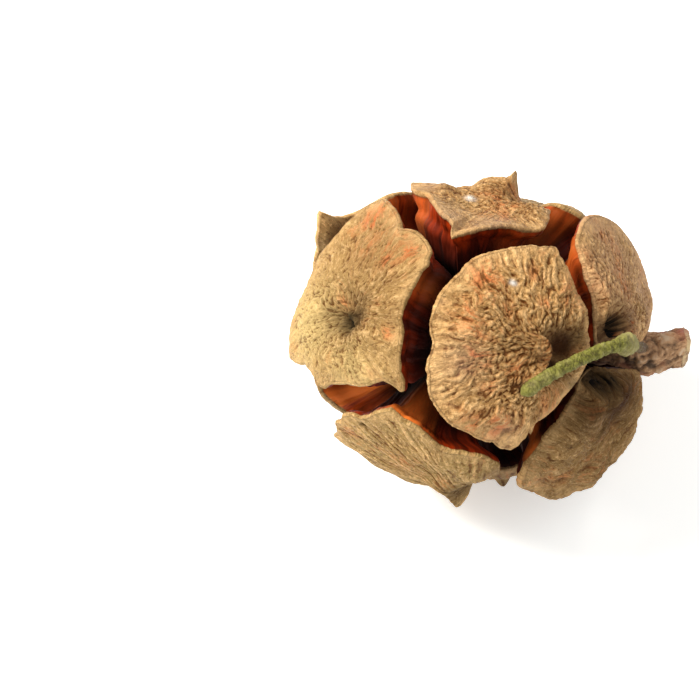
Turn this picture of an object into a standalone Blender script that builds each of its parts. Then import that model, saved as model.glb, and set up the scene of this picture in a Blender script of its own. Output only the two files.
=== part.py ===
"""Open, dry cypress cone: twelve shield-shaped scales round a short core, with a stalk and one green sprig.

Lengths are in millimetres until a mesh is finished, and in metres from then on.
A scale's face points away from the middle of the cone. Its edge is found by the gap that it
keeps to each neighbour, then pulled out or in at the corners seen on the real cone.
"""

import math

import bpy
import numpy as np
from mathutils import Vector, noise

MILLIMETRE = 0.001

# Where the middle of the cone lies above the surface that it rests on
MIDDLE = (-2.2, -0.5, 15.0)

# The stalk's direction, and how much longer the cone is along it than across it
STALK_WAY = (0.997, -0.065, 0.043)
STRETCH = 1.085

# How sharp the corners between two straight stretches of a scale's edge are, and the angles in
# radians that its edge keeps from its middle: at least the first, and the last for no limit
EDGE_SHARPNESS = 12
LEAST_ANGLE = 0.05
NO_LIMIT = 10.0
WIDEST_ANGLE = 48.0

# A neighbour limits the edge on spokes that reach towards it by at least this share
LEAST_REACH = 0.02

# Degrees that the scales keep from the stalk, and how far from it their middles are when that counts
STALK_CLEARANCE = 10.0
STALK_REACH = 75.0

# The wedge under each face: it narrows towards the core and ends just clear of it
FOOT = 4.7
UNDERCUT = 0.22
UNDERCUT_EASE = 0.7

# How much of a sphere's points make the face, the angle of a usual edge from the middle of its face
# in degrees, and how late the dome falls off towards that edge
FACE_SHARE = 0.625
USUAL_EDGE_ANGLE = 31
DOME_EASE = 2.4
POINT_EASE = 4

# Blender's noise starts from the clock unless it is given a number, so this keeps the shape the same
NOISE_START = 5

# The worn surfaces: the size of the bumps, how far they move a point, and the step between seeds
WEAR_SIZE = 3.0
WEAR = 0.22
WEAR_SEED = 5.3

SPOKES = 36
RINGS = 16
POLE = 0.001
SHARP_ANGLE = math.radians(40)

# The core, the neck that widens from it over a length, and the stalk that it becomes
CORE_RADIUS = 4.3
NECK_RADIUS = 0.9
NECK_LENGTH = 10.0
STALK_RADIUS = 1.75
STALK_END = 22.1
END_RADIUS = 0.5
STALK_SPOKES = 20
STALK_RINGS = 34

# How much of the sphere is spent on the stalk's two ends
END_SHARE = 0.02
END_STRETCH = 1.06

# Each swelling of the stalk: its height, place along the stalk and width
STALK_SWELLS = ((0.35, 17.0, 1.6), (0.2, 23.0, 1.2))

# The stalk's bark: the size of its bumps, how far they move a point, their seed, and the stretch
# along the stalk over which they begin
BARK_SIZE = 2.2
BARK_AMOUNT = 0.55
BARK_SEED = 3.1
BARK_START = 6.0
BARK_EASE = 4.0

# The sprig: its leaves' height and the number of pairs, the root's height, place and width, and how
# fast both ends round off
SPRIG_RADIUS = 0.62
SPRIG_SPOKES = 12
SPRIG_RINGS = 46
LEAF_HEIGHT = 0.16
LEAF_PAIRS = 11
ROOT_HEIGHT = 0.45
ROOT_PLACE = 0.86
ROOT_WIDTH = 0.05
TIP_SPEED = 12
BASE_SPEED = 20

# Each scale: degrees from the stalk, degrees round it from the top to the front, push against its
# neighbours, distance of its edge from the middle, tilt of the edge towards the stalk and sideways,
# gap to its neighbours, height of its face above its edge
SCALES = {
    "scale_crown": (70, 25, 0.6, 16.6, -0.8, 0.35, 1.0, 2.5),
    "scale_tip_top": (129, 9, 0.5, 17.3, 0.4, 0.1, 0.85, 1.9),
    "scale_top_back": (87, -27, -0.45, 16.5, -0.6, -0.4, 1.1, 1.2),
    "scale_stalk_top": (31, -7, -0.25, 16.5, 0.0, 1.6, 0.85, 2.3),
    "scale_stalk_front": (36, 83, -0.4, 16.1, 0.0, -2.4, 0.9, 2.2),
    "scale_front": (113, 92, -0.3, 15.5, 0.0, 0.4, 1.1, 1.7),
    "scale_tip_back": (142, 284, 0.0, 16.2, 0.0, 0.0, 1.4, 1.8),
    "scale_back": (65, 272, 0.0, 16.2, 0.0, 0.0, 1.0, 2.3),
    "scale_front_low": (85, 147, 0.2, 15.3, 0.0, 0.0, 1.1, 1.7),
    "scale_back_low": (105, 212, 0.0, 16.2, 0.0, 0.0, 1.2, 2.0),
    "scale_tip_low": (140, 166, 0.0, 14.8, 0.0, 0.0, 1.4, 1.7),
    "scale_stalk_low": (44, 183, 0.0, 16.2, 0.0, 0.0, 0.8, 2.1),
}

# Corners and hollows of the edges: degrees round the face, outward pull, lift away from the middle
EDGE_PULLS = {
    "scale_crown": (
        (0, -0.2, 0), (40, 0.2, 0), (60, -0.1, 0), (73, 0.8, 0), (84, 0, 0), (112, -0.3, 0),
        (122, -0.6, 0), (140, 0, 0), (183, 0.5, 0), (196, 0, 0), (212, -0.5, 0), (228, -0.3, 0),
        (245, 0.1, 0), (262, 0.1, 0), (272, 1.1, 0), (282, 0, 0), (300, -0.4, 0), (330, -0.3, 0),
    ),
    "scale_tip_top": (
        (0, -0.9, 0), (15, 0.4, 0), (32, 0.1, 0), (60, 0.2, 0), (82, 0.7, 0), (100, 0.1, 0),
        (140, 0, 0), (160, -1.6, 0), (182, -1.7, 0), (197, 0.4, 0), (210, -0.4, 0), (224, -1.1, 0),
        (240, 0.1, 0), (249, -1.0, 0), (272, -1.1, 0), (281, -0.6, 0), (288, 0.7, 0),
        (297, 0.1, 0), (312, -1.1, 0), (335, -1.6, 0),
    ),
    "scale_top_back": (
        (4, -0.3, 0), (22, 0.2, 0), (32, -0.1, -0.5), (48, -0.2, -1.4), (56, 0, -0.2),
        (62, 0.2, 2.2), (70, 0, 0.4), (84, 0, 0.2), (100, 0, -0.9), (116, -0.3, -0.4),
        (128, 0.2, 0.2), (142, -1.0, 0), (165, -1.4, 0), (195, -1.2, 0), (225, -0.8, 0),
        (250, 0.1, 0), (258, -0.6, 0), (275, -0.9, 0), (300, -0.9, 0), (330, -0.7, 0),
        (345, -0.3, 0),
    ),
    "scale_stalk_top": (
        (0, 0, -0.1), (120, -0.4, 0), (150, 0, 0), (210, 0.3, 0), (262, 0, 0), (285, -0.8, -0.5),
        (325, -0.6, -0.4),
    ),
    "scale_stalk_front": (
        (0, 0, 0), (70, 0, 0), (90, -0.8, 0), (120, -1.0, 0), (150, -1.0, 0), (180, -0.9, 0),
        (200, -0.1, 0), (240, 0, -0.4), (270, 0, 0), (300, 0, -0.6), (330, 0, -0.7),
    ),
    "scale_front": (
        (0, -0.5, 0), (12, 0.3, 0), (30, 0, 0), (45, -1.0, 0), (60, -1.1, 0), (75, -0.6, 0),
        (90, 0.1, 0), (120, -0.6, 0), (148, -1.0, 0), (170, -1.6, 0), (192, -0.8, 0),
        (210, 0.2, 0), (300, 0, -0.1), (312, 0, 0.2), (320, 0.1, 2.0), (328, 0, 0),
        (338, -0.2, -1.0), (350, -0.4, -0.8),
    ),
    "scale_tip_back": (
        (0, 2.2, 0), (30, 1.8, 0), (60, 0.4, 0), (120, -1.2, 0), (200, -1.0, -0.5), (225, 0, 0),
        (245, 0.6, 0.8), (262, 2.4, 3.0), (280, 0.8, 0.8), (300, 0, 0), (330, 1.6, 0),
    ),
    "scale_back": ((0, 0, 0), (90, -0.4, 0), (180, 0, -0.3), (200, 0, 1.6), (220, -0.3, -0.3)),
    "scale_front_low": ((0, 0, 0), (60, -0.6, 0), (120, 0.2, 0), (250, -0.3, 0), (300, -0.5, 0)),
    "scale_back_low": ((0, -0.4, 0), (70, 0.2, 0), (160, -0.5, 0), (240, 0.1, 0), (310, -0.6, 0)),
    "scale_tip_low": ((0, -0.3, 0), (110, -0.5, 0), (200, 0.3, 0), (270, -0.6, 0)),
    "scale_stalk_low": ((0, 0, 0), (80, -0.4, 0), (150, 0.2, 0), (260, -0.4, 0)),
}

# The worn point of each face: how far it lies towards the stalk and across, its height and width,
# the depth of the dimple round it, and the depth of the hollow beside it on the stalk's side
POINTS = {
    "scale_crown": (0.9, -2.0, 0.9, 1.3, 0.0, 1.5),
    "scale_tip_top": (-0.4, -2.7, 1.5, 0.8, 2.0, 0.0),
    "scale_top_back": (1.0, 2.2, 0.5, 1.2, 0.9, 0.0),
    "scale_stalk_top": (-0.9, -4.4, 1.0, 0.7, 1.9, 0.0),
    "scale_stalk_front": (1.8, 3.0, 0.3, 1.6, 0.5, 0.0),
    "scale_front": (4.4, -1.6, 0.4, 1.6, 0.2, 0.0),
    "scale_tip_back": (2.0, 0.6, 0.9, 1.1, 0.5, 0.0),
    "scale_back": (1.8, 0.4, 2.2, 0.9, 0.5, 0.4),
    "scale_front_low": (2.2, 0.5, 2.2, 0.9, 0.4, 0.3),
    "scale_back_low": (2.4, -0.6, 2.0, 0.9, 0.4, 0.3),
    "scale_tip_low": (1.6, 0.8, 0.8, 1.0, 0.6, 0.0),
    "scale_stalk_low": (1.2, 0.4, 0.9, 1.0, 0.6, 0.0),
}
DIMPLE_SPREAD = 2.4
HOLLOW_PLACE = 2.4
HOLLOW_WIDTH = 1.9

# The sprig's line from its tip to where it leaves the stalk, measured from the middle of the cone
SPRIG_LINE = (
    (4.2, -13.1, 12.9), (7.3, -11.1, 13.4), (9.8, -9.7, 13.5),
    (12.2, -8.2, 12.8), (14.6, -6.3, 11.2), (17.4, -3.1, 3.6),
)

# Places beside each point of the sprig whose mean smooths its line, and the step to see its direction
LINE_SHIFTS = (-0.08, -0.04, 0.0, 0.04, 0.08)
LINE_STEP = 0.01
SPRIG_UPRIGHT = (0.0, 0.3, 1.0)

BARK_TAN = (0.50, 0.33, 0.18, 1.0)
BARK_GREY = (0.33, 0.25, 0.17, 1.0)
BARK_DARK = (0.20, 0.10, 0.05, 1.0)
SPRIG_GREEN = (0.22, 0.25, 0.07, 1.0)


def unit(vector):
    vector = np.asarray(vector, float)
    return vector / np.linalg.norm(vector)


def hill(distance, width):
    """A smooth hill: 1 where the distance is 0, and near 0 beyond twice the width."""
    return np.exp(-((distance / width) ** 2))


def stalk_axes():
    """The stalk's direction, with the directions across it that point up and to the front."""
    along = unit(STALK_WAY)
    up = np.array((0.0, 0.0, 1.0))
    up = unit(up - along * (along @ up))
    return along, up, np.cross(along, up)


def facing(from_stalk, turn):
    """The unit direction at an angle from the stalk and a turn round it."""
    along, up, front = stalk_axes()
    angle = math.radians(from_stalk)
    turn = math.radians(turn)
    return math.cos(angle) * along + math.sin(angle) * (math.cos(turn) * up + math.sin(turn) * front)


def face_axes(name):
    """A scale's own directions: outward, across its face towards the stalk, and sideways."""
    outward = facing(*SCALES[name][:2])
    along = stalk_axes()[0]
    stalkward = unit(along - outward * (outward @ along))
    return outward, stalkward, np.cross(outward, stalkward)


def limit_angle(outward, spokes, towards, offset):
    """For each spoke, the angle at which it meets the plane between this scale and a neighbour."""
    across = unit(towards)
    lean = -(outward @ across)
    reach = spokes @ across
    length = np.hypot(lean, reach)
    angle = np.arctan2(lean, reach) - np.arcsin(np.clip(offset / length, -1, 1))
    return np.where(reach > LEAST_REACH, np.maximum(angle, LEAST_ANGLE), NO_LIMIT)


def edge_angles(name, spokes):
    """How far round from its direction a scale's edge lies, on each spoke, in radians."""
    outward, stalkward, _ = face_axes(name)
    from_stalk, _, push, edge, _, _, gap, _ = SCALES[name]
    total = np.zeros(len(spokes))
    for other, row in SCALES.items():
        if other != name:
            towards = facing(*row[:2]) - outward
            angle = limit_angle(outward, spokes, towards, (gap - push + row[2]) / edge)
            total += angle ** -EDGE_SHARPNESS
    if from_stalk < STALK_REACH:
        away = math.radians(from_stalk - STALK_CLEARANCE)
        touch = math.cos(away) * outward + math.sin(away) * stalkward
        towards = stalkward - touch * (stalkward @ touch)
        total += limit_angle(outward, spokes, towards, 0.0) ** -EDGE_SHARPNESS
    return np.minimum(total ** (-1 / EDGE_SHARPNESS), math.radians(WIDEST_ANGLE))


def edge_of(name, turns):
    """The two across-face distances and the outward distance of a scale's edge at each turn."""
    _, stalkward, sideways = face_axes(name)
    spokes = np.outer(np.cos(turns), stalkward) + np.outer(np.sin(turns), sideways)
    _, _, _, edge, lean_stalk, lean_side, _, _ = SCALES[name]
    distance = edge + lean_stalk * np.cos(turns) + lean_side * np.sin(turns)
    degrees, outs, lifts = np.array(EDGE_PULLS[name], float).T
    pulled = np.interp(np.degrees(turns), degrees, outs, period=360)
    distance = distance + np.interp(np.degrees(turns), degrees, lifts, period=360)
    angles = edge_angles(name, spokes) + pulled / edge
    reach = distance * np.sin(angles)
    return reach * np.cos(turns), reach * np.sin(turns), distance * np.cos(angles)


def point_shape(name, x, y):
    """Height added by the worn point of a face, the dimple round it and the hollow beside it."""
    _, _, height, width, dimple, hollow = POINTS[name]
    far = np.hypot(x, y)
    ring = hill(far, DIMPLE_SPREAD * width)
    beside = hill(np.hypot(x - HOLLOW_PLACE, y), HOLLOW_WIDTH)
    return height * hill(far, width) - dimple * ring - hollow * beside


def scale_points(name, share, turns):
    """The points of a scale: share runs from the middle of its face, over its edge, to its foot."""
    edge_x, edge_y, edge_height = edge_of(name, turns)
    point_x, point_y = POINTS[name][:2]
    dome = SCALES[name][7]
    out = np.clip(share / FACE_SHARE, 0, 1)
    down = np.clip((share - FACE_SHARE) / (1 - FACE_SHARE), 0, 1)
    x = point_x * (1 - out) + edge_x * out
    y = point_y * (1 - out) + edge_y * out
    top = SCALES[name][3] * math.cos(math.radians(USUAL_EDGE_ANGLE)) + dome
    height = top + (edge_height - top) * out ** DOME_EASE
    height += point_shape(name, x - point_x, y - point_y) * (1 - out ** POINT_EASE)
    wall = FOOT + (edge_height - FOOT) * (1 - down)
    taper = wall / edge_height * (1 - UNDERCUT * np.sin(math.pi * down ** UNDERCUT_EASE))
    taper = np.where(down > 1 - POLE, 0.0, taper)
    return np.stack((x * taper, y * taper, np.where(down > 0, wall, height)), 1)


def to_world(name, local):
    """Turns a scale's own coordinates to the cone's, stretched along the stalk."""
    outward, stalkward, sideways = face_axes(name)
    points = local @ np.array((stalkward, sideways, outward))
    return stretched(points)


def stretched(points):
    along = stalk_axes()[0]
    return points + np.outer(points @ along, along) * (STRETCH - 1)


def placed(points):
    """Lifts points to their place above the surface and flattens what would go below it."""
    points = points + np.array(MIDDLE)
    points[:, 2] = np.maximum(points[:, 2], 0.0)
    return points * MILLIMETRE


def sphere(name, spokes, rings, collection):
    bpy.ops.mesh.primitive_uv_sphere_add(segments=spokes, ring_count=rings, radius=1.0)
    obj = bpy.context.object
    obj.name = obj.data.name = name
    for owner in list(obj.users_collection):
        owner.objects.unlink(obj)
    collection.objects.link(obj)
    return obj


def points_of(obj):
    flat = np.empty(len(obj.data.vertices) * 3)
    obj.data.vertices.foreach_get("co", flat)
    return flat.reshape(-1, 3)


def reshape(obj, points):
    obj.data.vertices.foreach_set("co", np.ascontiguousarray(points, dtype=np.float32).ravel())
    obj.data.update()
    obj.data.shade_smooth()
    obj.data.set_sharp_from_angle(angle=SHARP_ANGLE)


def share_and_turn(obj):
    """Each vertex's place on its sphere: 0 to 1 from the top down, and the turn in radians."""
    points = points_of(obj)
    share = np.arccos(np.clip(points[:, 2], -1, 1)) / math.pi
    return share, np.arctan2(points[:, 1], points[:, 0]) % (2 * math.pi)


def roughen(points, size, amount, seed):
    """Moves each point by up to about the amount, by smooth noise with bumps of the given size."""
    shift = Vector((seed, seed * 0.7, -seed))
    moved = [noise.noise_vector(Vector(point) / size + shift) for point in points]
    return points + np.array(moved) * amount


def material(name, colour, roughness):
    made = bpy.data.materials.new(name)
    made.use_nodes = True
    shader = made.node_tree.nodes["Principled BSDF"]
    shader.inputs["Base Color"].default_value = colour
    shader.inputs["Roughness"].default_value = roughness
    shader.inputs["Metallic"].default_value = 0.0
    return made


def add_scale(name, number, collection):
    obj = sphere(name, SPOKES, RINGS, collection)
    share, turns = share_and_turn(obj)
    local = scale_points(name, share, turns)
    worn = roughen(to_world(name, local), WEAR_SIZE, WEAR, number * WEAR_SEED)
    reshape(obj, placed(worn))
    grey = name == "scale_stalk_front"
    obj.data.materials.append(material(name + "_bark", BARK_GREY if grey else BARK_TAN, 0.8))
    return obj


def stalk_radius(x):
    """The core, the neck that leaves it, the swelling outside the scales and the broken end."""
    core = np.sqrt(np.clip(CORE_RADIUS ** 2 - x ** 2, 0, None))
    widening = np.clip((x - CORE_RADIUS) / NECK_LENGTH, 0, 1)
    neck = NECK_RADIUS + (STALK_RADIUS - NECK_RADIUS) * widening
    swell = sum(height * hill(x - place, width) for height, place, width in STALK_SWELLS)
    return np.maximum(core, np.where(x > 0, neck + swell, 0))


def add_stalk(collection):
    obj = sphere("core_and_stalk", STALK_SPOKES, STALK_RINGS, collection)
    share, turns = share_and_turn(obj)
    along, up, front = stalk_axes()
    x = -CORE_RADIUS + (STALK_END + CORE_RADIUS) * np.clip(share * END_STRETCH - END_SHARE, 0, 1)
    poles = (share < POLE) | (share > 1 - POLE)
    radius = np.where(poles, 0.0, np.maximum(stalk_radius(x), END_RADIUS))
    points = np.outer(x, along)
    points += np.outer(radius * np.cos(turns), up) - np.outer(radius * np.sin(turns), front)
    outside = np.clip((x - BARK_START) / BARK_EASE, 0, 1)[:, None]
    rough = roughen(points, BARK_SIZE, BARK_AMOUNT, BARK_SEED)
    reshape(obj, placed(points + (rough - points) * outside))
    obj.data.materials.append(material("stalk_bark", BARK_DARK, 0.85))
    return obj


def rows_unit(rows):
    return rows / np.linalg.norm(rows, axis=1)[:, None]


def line_at(line, share):
    """Points along a smooth curve near the line's corners, by the mean of the places near each."""
    line = np.array(line, float)
    steps = np.linspace(0, 1, len(line))
    near = [np.clip(share + shift, 0, 1) for shift in LINE_SHIFTS]
    means = [sum(np.interp(at, steps, line[:, axis]) for at in near) / len(near) for axis in range(3)]
    return np.stack(means, 1)


def rounded_end(share):
    """The share of a radius near the rounded end of a shoot: 0 at the end, 1 from share 1 on."""
    return np.sin(np.clip(share, 0, 1) * math.pi / 2)


def add_sprig(collection):
    """The green sprig: a thin shoot wrapped in pairs of small leaves, thicker at its root."""
    obj = sphere("green_sprig", SPRIG_SPOKES, SPRIG_RINGS, collection)
    share, turns = share_and_turn(obj)
    pairs = np.abs(np.sin(share * math.pi * LEAF_PAIRS)) * np.abs(np.cos(turns * 2))
    root = 1 + ROOT_HEIGHT * hill(share - ROOT_PLACE, ROOT_WIDTH)
    ends = rounded_end(share * TIP_SPEED) * rounded_end((1 - share) * BASE_SPEED)
    radii = SPRIG_RADIUS * (1 + LEAF_HEIGHT * pairs) * root * ends
    ahead = rows_unit(line_at(SPRIG_LINE, share + LINE_STEP) - line_at(SPRIG_LINE, share - LINE_STEP))
    side = rows_unit(np.cross(ahead, SPRIG_UPRIGHT))
    round_line = np.cos(turns)[:, None] * side + np.sin(turns)[:, None] * np.cross(side, ahead)
    reshape(obj, placed(line_at(SPRIG_LINE, share) + radii[:, None] * round_line))
    obj.data.materials.append(material("sprig_green", SPRIG_GREEN, 0.6))
    return obj


def clear_scene():
    for obj in list(bpy.data.objects):
        bpy.data.objects.remove(obj, do_unlink=True)


def main():
    clear_scene()
    noise.seed_set(NOISE_START)
    collection = bpy.data.collections.new("cypress_cone")
    bpy.context.scene.collection.children.link(collection)
    add_stalk(collection)
    for number, name in enumerate(SCALES):
        add_scale(name, number, collection)
    add_sprig(collection)


if __name__ == "__main__":
    main()
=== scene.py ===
"""Open, dry cypress cone: twelve woody scales round a core, with a rough stalk and one green sprig.

Lengths are in millimetres from the middle of the cone until a mesh is finished, and in metres after.
"""

import math

import bpy
import numpy as np
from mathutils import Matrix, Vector, noise


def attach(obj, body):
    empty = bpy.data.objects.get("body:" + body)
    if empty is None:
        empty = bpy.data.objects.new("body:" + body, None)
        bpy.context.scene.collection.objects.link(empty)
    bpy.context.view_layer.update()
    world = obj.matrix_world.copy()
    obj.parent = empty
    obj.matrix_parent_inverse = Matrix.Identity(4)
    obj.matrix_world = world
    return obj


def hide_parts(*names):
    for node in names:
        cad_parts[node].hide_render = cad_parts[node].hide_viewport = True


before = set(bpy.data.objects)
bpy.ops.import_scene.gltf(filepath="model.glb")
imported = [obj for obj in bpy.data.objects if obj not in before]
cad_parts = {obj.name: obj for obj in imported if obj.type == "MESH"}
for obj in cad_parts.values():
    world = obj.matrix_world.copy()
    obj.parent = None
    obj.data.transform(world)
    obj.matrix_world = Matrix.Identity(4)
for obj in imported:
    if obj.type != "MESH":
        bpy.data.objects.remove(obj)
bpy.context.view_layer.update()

bl_info = {
    "name": "Cypress cone",
    "version": (1, 0, 0),
    "blender": (4, 5, 0),
    "location": "3D View > Sidebar > Cypress cone",
    "description": "Builds an open, dry cypress cone with a stalk and a green sprig",
    "category": "Add Mesh",
}

MILLIMETRE = 0.001
BODY = "root"

# Where the cone stands and how it is stretched along its stalk
MIDDLE = (-2.2, -0.5, 15.0)
STALK_WAY = (0.997, -0.065, 0.043)
STRETCH = 1.085

# The plain form of the scales
EDGE_SHARPNESS = 12
WIDEST_ANGLE = 48.0
STALK_CLEARANCE = 10.0
STALK_REACH = 75.0
FOOT = 4.7
UNDERCUT = 0.22
FACE_CURVE = 2.4

# The worn surfaces of scales and bark: the size of the bumps, how far they move a point, and the
# step between the scales' seeds
WEAR_SIZE, BARK_WEAR_SIZE = 3.0, 2.2
WEAR, BARK_WEAR = 0.22, 0.5
WEAR_SEED = 5.3

# How the rings of a scale's mesh are shared out: its face, its rounded edge, its wall
FACE_END = 0.60
LIP_END = 0.68
LIP_TURN = math.radians(172)
WALL_TILT = math.radians(120)

# Each scale: degrees from the stalk, degrees round it from the top to the front, push against its
# neighbours, distance of its edge from the middle, tilt of the edge towards the stalk and sideways,
# gap to its neighbours, height of its face above its edge
SCALES = {
    "scale_crown": (70, 25, 0.6, 16.6, -0.8, 0.35, 1.0, 2.5),
    "scale_tip_top": (129, 9, 0.5, 17.3, 0.4, 0.1, 0.85, 1.9),
    "scale_top_back": (87, -27, -0.45, 16.5, -0.6, -0.4, 1.1, 1.2),
    "scale_stalk_top": (31, -7, -0.25, 16.5, 0.0, 1.6, 0.85, 2.3),
    "scale_stalk_front": (36, 83, -0.4, 16.1, 0.0, -2.4, 0.9, 2.2),
    "scale_front": (113, 92, -0.3, 15.5, 0.0, 0.4, 1.1, 1.7),
    "scale_tip_back": (142, 284, 0.0, 16.2, 0.0, 0.0, 1.4, 1.8),
    "scale_back": (65, 272, 0.0, 16.2, 0.0, 0.0, 1.0, 2.3),
    "scale_front_low": (85, 147, 0.2, 15.3, 0.0, 0.0, 1.1, 1.7),
    "scale_back_low": (105, 212, 0.0, 16.2, 0.0, 0.0, 1.2, 2.0),
    "scale_tip_low": (140, 166, 0.0, 14.8, 0.0, 0.0, 1.4, 1.7),
    "scale_stalk_low": (44, 183, 0.0, 16.2, 0.0, 0.0, 0.8, 2.1),
}

# Corners and hollows of the edges: degrees round the face, outward pull, and lift away from the
# middle where there is one
EDGE_PULLS = {
    "scale_crown": (
        (0, -0.4), (12, 0), (21, 0.2), (30, 0.1), (40, -0.1), (58, 0), (66, -0.1), (70, 0.5), (75, 0.3),
        (81, 0), (88, 0.2), (103, 0.05), (120, -0.3), (127, -0.4), (134, -0.5), (141, -0.45),
        (149, -0.15), (163, 0.3), (181, 0.5), (186, 0.35), (193, 0), (202, 0.1), (206, 0), (210, -0.3),
        (216, -0.45), (231, 0.1), (240, 0.4), (248, 0.35), (252, 0.5), (262, 0.3), (267, 1.0), (271, 1.4),
        (277, 0.7), (280, 0.1), (281, 0.9), (283, 0), (293, -0.2), (303, -0.5), (321, -0.4), (330, -0.5),
        (338, -0.9), (352, -0.5),
    ),
    "scale_tip_top": (
        (1, -0.8), (4, -0.3), (9, -0.3), (14, 0), (25, 0.05), (32, 0), (38, -0.3), (43, -0.7),
        (51, -0.25), (67, 0.4), (81, 0.8), (88, 0.25), (95, 0), (99, -0.4), (104, -0.9), (110, -1.5),
        (120, -1.5), (133, -1.1), (146, -1.4), (160, -1.9), (182, -2.2), (194, -0.7), (198, 0),
        (204, -1.2), (211, -2.0), (218, -2.6), (226, -2.1), (232, -1.3), (237, -0.4), (241, -0.3),
        (247, -0.9), (260, -1.15), (269, -0.85), (275, -1.0), (280, -1.35), (285, -1.5), (288, -0.6),
        (290, 0.5), (292, 0.65), (295, 0.2), (297, -0.5), (302, -0.9), (310, -1.0), (317, -1.1),
        (323, -1.5), (337, -1.35), (352, -1.05),
    ),
    "scale_top_back": (
        (4, -0.7), (15, -0.8), (22, -0.6), (32, -0.3, -0.6), (44, -0.3, -1.25), (52, -0.2, -1.1),
        (58, -0.1, -0.4), (63, 0.1, 0.8), (66, 0.2, 1.8), (69, 0.1, 1.1), (72, 0, 0.85), (84, 0, 0.55),
        (90, 0, 0.2), (99, -0.1, -0.9), (108, -0.3, -1.1), (116, -0.5, -1.2), (122, -0.6, -1.2),
        (128, -1.3, -1.2), (132, -1.1, -0.9), (136, -0.3, -0.1), (140, 0.1, 0.2), (147, -0.7),
        (160, -1.7), (177, -2.0), (195, -1.35), (212, -1.1), (225, -0.95), (231, -0.95), (238, -1.1),
        (246, -1.0), (248, -0.3), (251, 0.25), (255, -0.3), (262, -0.6), (271, -0.7), (278, -0.8),
        (307, -0.85), (325, -0.7), (341, -0.45), (352, -0.6),
    ),
    "scale_stalk_top": (
        (0, 0.1, 0.15), (60, -0.2, 0.1), (93, -0.5), (105, -0.8), (114, -0.9), (123, -0.75), (132, -0.35),
        (144, -0.15), (158, -0.25), (166, -0.35), (173, -0.5), (180, -0.5), (186, -0.35), (196, -0.25),
        (206, -0.2), (217, -0.4), (230, -0.45), (250, -0.1), (262, 0.2), (285, -0.3, -0.4),
        (325, -0.5, -0.2),
    ),
    "scale_stalk_front": (
        (0, 0, 0.1), (25, 0), (70, 0), (90, -0.4), (106, -1.3), (123, -1.3), (135, -1.45), (148, -1.8),
        (157, -1.75), (165, -2.1), (173, -1.5), (178, -0.8), (185, -0.3), (188, 0.1), (195, 0.3),
        (202, -0.2), (210, -0.6), (222, -0.6, -0.1), (240, -0.3, -0.5), (270, 0.3, 0.1), (300, 0.5),
        (330, 0.2, -0.2),
    ),
    "scale_front": (
        (0, -0.4, -0.4), (8, 0), (18, 0.4), (23, 0.1), (29, -0.1), (35, -0.85), (41, -1.25), (46, -1.7),
        (55, -1.9), (66, -1.55), (74, -1.35), (82, -1.15), (90, -0.85), (94, -0.4), (98, 0.05),
        (109, -0.3), (118, -0.75), (127, -0.95), (135, -0.7), (148, -1.1), (157, -2.2), (176, -2.6),
        (190, -1.1, 0.1), (202, 0.7, 0.4), (208, 0.7, 0.15), (221, 0), (230, 0), (240, 0.1),
        (262, -0.1, -0.1), (285, -0.3, -0.3), (300, -0.3, -0.3), (312, -0.2), (321, 0, 1.7),
        (326, 0, 0.3), (332, -0.4, -0.8), (342, -0.8, -1.5), (352, -0.6, -1.2),
    ),
    "scale_tip_back": (
        (70, 0), (120, -1.2), (200, -1.0, -0.5), (225, 0), (245, 0.5, 0.7), (257, 2.2, 2.3),
        (265, 2.5, 3.7), (269, 1.6, 2.0), (275, 0.9, 1.1), (285, 0.7, 0.7), (300, 0.25, 0.3),
        (312, 0.6, 0.2), (320, 0.8, -0.1), (332, 1.2, -0.9), (350, 1.8, -1.6), (20, 1.8, -1.6),
        (50, 0.4, -0.5),
    ),
    "scale_back": (
        (0, 0), (90, -0.4), (172, -0.1, -0.2), (190, 0, 1.4), (203, -0.6, -0.4), (225, -0.7, -0.9),
        (245, -0.6, -1.4), (266, -0.6, -1.3), (274, -0.8, -1.1), (281, 0, -0.4), (290, 0.7, 0.1),
        (300, 0.9, 0.3), (320, 0.2), (340, 0),
    ),
    "scale_front_low": (
        (0, 0), (30, -0.8, -0.4), (50, -2.0, -1.6), (75, -2.4, -1.9), (100, -2.2, -1.8),
        (125, -0.8, -0.6), (160, 0.1), (250, -0.3), (300, -0.5),
    ),
    "scale_back_low": ((0, -0.4), (70, 0.2), (160, -0.5), (240, 0.1), (310, -0.6)),
    "scale_tip_low": (
        (0, -0.3), (100, -0.8, -0.4), (118, -1.8, -1.0), (130, -1.2, -0.6), (142, -0.4), (200, 0.3),
        (270, -0.6),
    ),
    "scale_stalk_low": ((0, 0), (80, -0.4), (150, 0.2), (260, -0.4)),
}

# The worn point of each face: how far it lies towards the stalk and across, its height and width,
# the depth of the dimple round it, and the depth of the hollow beside it on the stalk's side
POINTS = {
    "scale_crown": (0.9, -2.0, 0.9, 1.3, 0.0, 1.5),
    "scale_tip_top": (-0.4, -2.7, 1.5, 0.8, 2.0, 0.0),
    "scale_top_back": (1.0, 2.2, 0.5, 1.2, 0.9, 0.0),
    "scale_stalk_top": (-0.9, -4.4, 1.0, 0.7, 1.9, 0.0),
    "scale_stalk_front": (1.8, 3.0, 0.3, 1.6, 0.5, 0.0),
    "scale_front": (4.4, -1.6, 0.4, 1.6, 0.2, 0.0),
    "scale_tip_back": (2.0, 0.6, 0.9, 1.1, 0.5, 0.0),
    "scale_back": (1.8, 0.4, 2.2, 0.9, 0.5, 0.4),
    "scale_front_low": (2.2, 0.5, 2.2, 0.9, 0.4, 0.3),
    "scale_back_low": (2.4, -0.6, 2.0, 0.9, 0.4, 0.3),
    "scale_tip_low": (1.6, 0.8, 0.8, 1.0, 0.6, 0.0),
    "scale_stalk_low": (1.2, 0.4, 0.9, 1.0, 0.6, 0.0),
}
DIMPLE_SPREAD = 2.4
HOLLOW_PLACE = 2.4
HOLLOW_WIDTH = 1.9

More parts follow.
